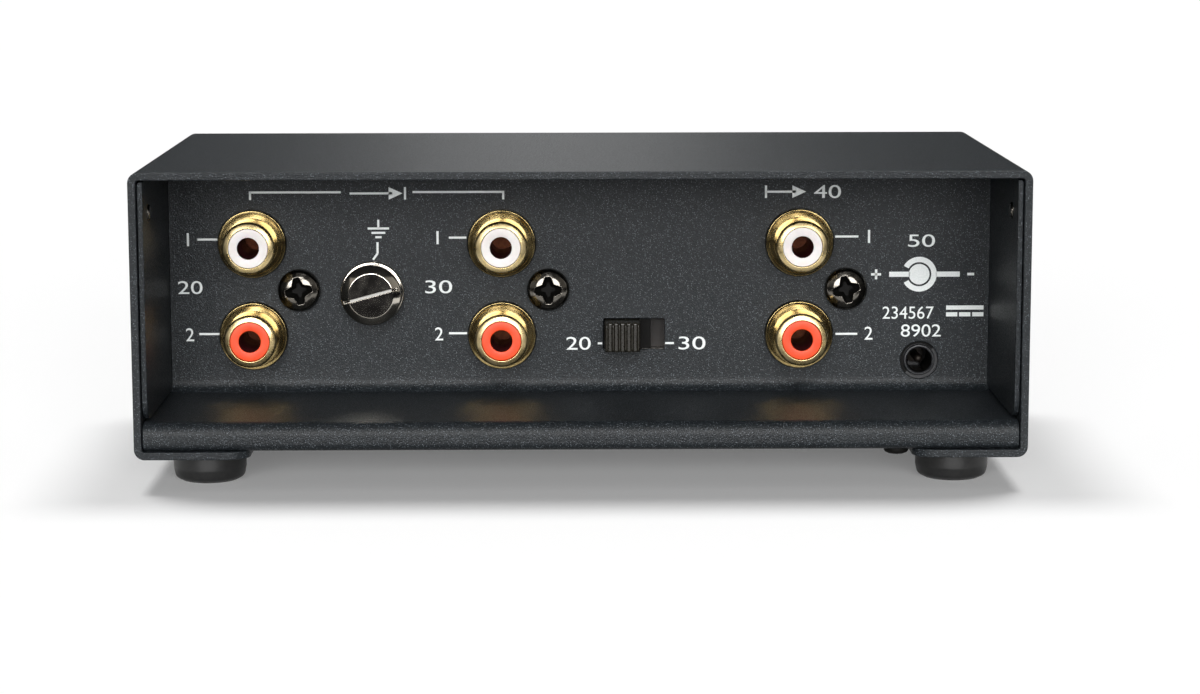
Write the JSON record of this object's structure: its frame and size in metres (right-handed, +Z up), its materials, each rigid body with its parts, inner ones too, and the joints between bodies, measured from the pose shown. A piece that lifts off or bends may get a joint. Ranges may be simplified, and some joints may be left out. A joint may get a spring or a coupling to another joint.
{
  "type": "phono preamp",
  "caption": "Compact phono preamplifier in a folded steel case, with phono sockets, a slide selector, a ground screw and a power inlet on a recessed rear panel.",
  "frame": {"origin": "on the surface that the feet stand on, under the middle of the case", "axes": "+Z up, +X to the right of someone who faces the connectors, +Y from the connectors to the front panel"},
  "size_m": [0.135, 0.072, 0.0485],
  "materials": {
    "powder_coat": "fine-textured graphite powder coat",
    "front_panel": "black anodised, brushed",
    "circuit_board": "green solder mask",
    "brass": "plain machined brass",
    "zinc_steel": "bright zinc",
    "black_moulding": "moulded, matt",
    "gilt": "gilt, polished",
    "white_insulator": "moulded, satin",
    "red_insulator": "moulded, satin",
    "tinned_brass": "tinned",
    "black_nickel": "black nickel, polished",
    "bright_nickel": "nickel plated, polished",
    "bronze": "phosphor bronze, rolled",
    "tinned_steel": "tinned, rolled",
    "phenolic_board": "phenolic paper board",
    "knob_plastic": "moulded, matt black",
    "foot_rubber": "matt",
    "lamp_lens": "tinted clear moulding",
    "capacitor_sleeve_blue": "shrunk sleeve",
    "capacitor_sleeve_black": "shrunk sleeve",
    "film_capacitor_red": "dipped epoxy",
    "chip_epoxy": "moulded epoxy",
    "resistor_beige": "lacquered"
  },
  "bodies": {
    "root": {"cover": "powder_coat", "chassis": "powder_coat", "front_panel": "front_panel", "circuit_board": "circuit_board", "board_standoffs": "brass", "board_screws": "zinc_steel", "mc_socket_block": "black_moulding", "mm_socket_block": "black_moulding", "out_socket_block": "black_moulding", "mc_left_shell": "gilt", "mc_right_shell": "gilt", "mm_left_shell": "gilt", "mm_right_shell": "gilt", "out_left_shell": "gilt", "out_right_shell": "gilt", "mc_left_insulator": "white_insulator", "mm_left_insulator": "white_insulator", "out_left_insulator": "white_insulator", "mc_right_insulator": "red_insulator", "mm_right_insulator": "red_insulator", "out_right_insulator": "red_insulator", "mc_socket_contacts": "tinned_brass", "mm_socket_contacts": "tinned_brass", "out_socket_contacts": "tinned_brass", "socket_screws": "black_nickel", "ground_bush": "brass", "ground_strap": "bronze", "switch_can": "tinned_steel", "switch_base": "phenolic_board", "switch_terminals": "tinned_brass", "inlet_body": "black_moulding", "inlet_pin": "bright_nickel", "inlet_contact": "bronze", "rear_left_foot": "foot_rubber", "rear_right_foot": "foot_rubber", "front_left_foot": "foot_rubber", "front_right_foot": "foot_rubber", "foot_screws": "zinc_steel", "foot_nuts": "zinc_steel", "side_screws": "black_nickel", "earth_screw": "black_nickel", "earth_nut": "zinc_steel", "front_panel_screws": "zinc_steel", "power_lamp": "lamp_lens", "lamp_holder": "black_moulding", "filter_capacitors": "capacitor_sleeve_blue", "coupling_capacitors": "capacitor_sleeve_black", "film_capacitors": "film_capacitor_red", "op_amps": "chip_epoxy", "transistors": "chip_epoxy", "resistors": "resistor_beige", "regulator": "chip_epoxy"},
    "selector": {"switch_knob": "knob_plastic", "switch_wiper": "bronze"},
    "ground_washer_body": {"ground_washer": "bright_nickel"},
    "ground_screw_body": {"ground_screw": "bright_nickel"}
  },
  "joints": [
    {"name": "selector_slide", "type": "slide", "parent": "root", "child": "selector", "axis": [1, 0, 0], "range_m": [0, 0.0038]},
    {"name": "ground_washer_slide", "type": "slide", "parent": "root", "child": "ground_washer_body", "axis": [0, -1, 0], "range_m": [0, 0.0028]},
    {"name": "ground_screw_turn", "type": "hinge", "parent": "ground_washer_body", "child": "ground_screw_body", "pos_m": [-0.0332, -0.0068, 0.0264], "axis": [0, -1, 0], "range_deg": [0, 1441]}
  ],
  "couplings": [
    {"joint": "ground_screw_turn", "follows": "ground_washer_slide", "rad_per_m": 8976}
  ]
}
